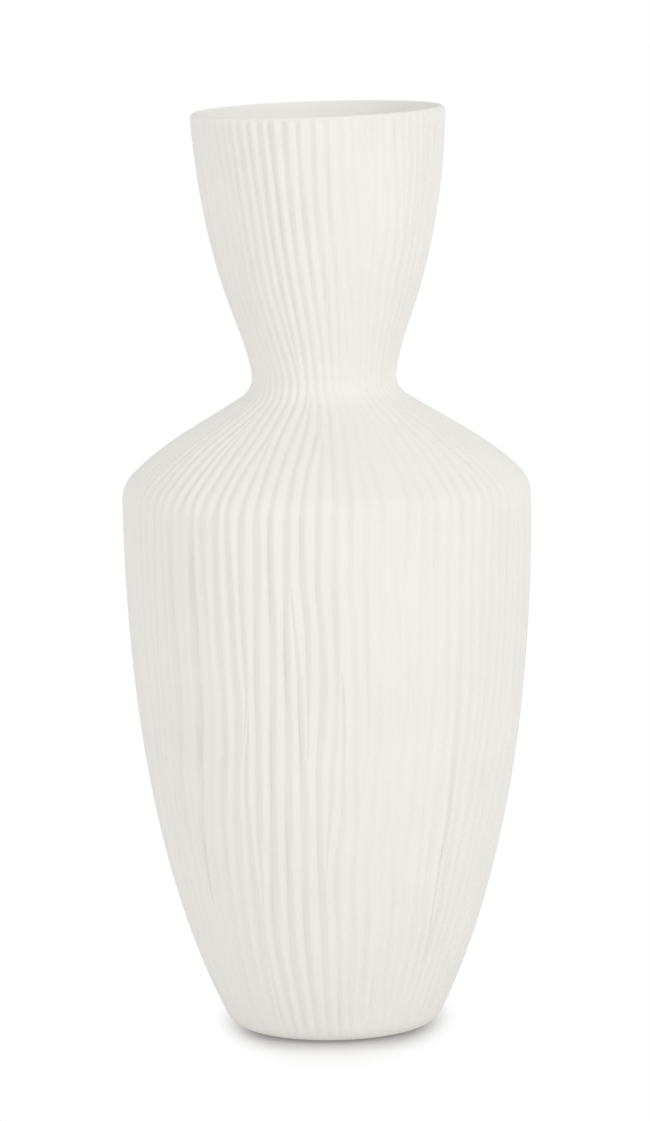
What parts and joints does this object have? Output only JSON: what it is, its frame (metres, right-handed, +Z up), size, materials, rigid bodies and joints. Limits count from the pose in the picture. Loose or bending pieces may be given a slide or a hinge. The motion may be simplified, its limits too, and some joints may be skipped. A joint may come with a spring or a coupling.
{
  "type": "vase",
  "caption": "Tall fluted ceramic vase with a flared neck, narrow waist, broad shoulders and a small round foot on thin pads.",
  "frame": {"origin": "on the table under the middle of the foot", "axes": "+Z up along the vase's own axis, -Y towards the viewer of the picture, +X to the viewer's right"},
  "size_m": [0.203, 0.203, 0.46],
  "materials": {
    "bisque_shell": "matte unglazed, fine grain",
    "inner_glaze": "thin clear satin glaze",
    "foot_pads": "matte, slightly soft"
  },
  "bodies": {
    "root": {"vase_body": "bisque_shell", "glaze_lining": "inner_glaze", "foot_pad_1": "foot_pads", "foot_pad_2": "foot_pads", "foot_pad_3": "foot_pads", "foot_pad_4": "foot_pads"}
  },
  "joints": []
}
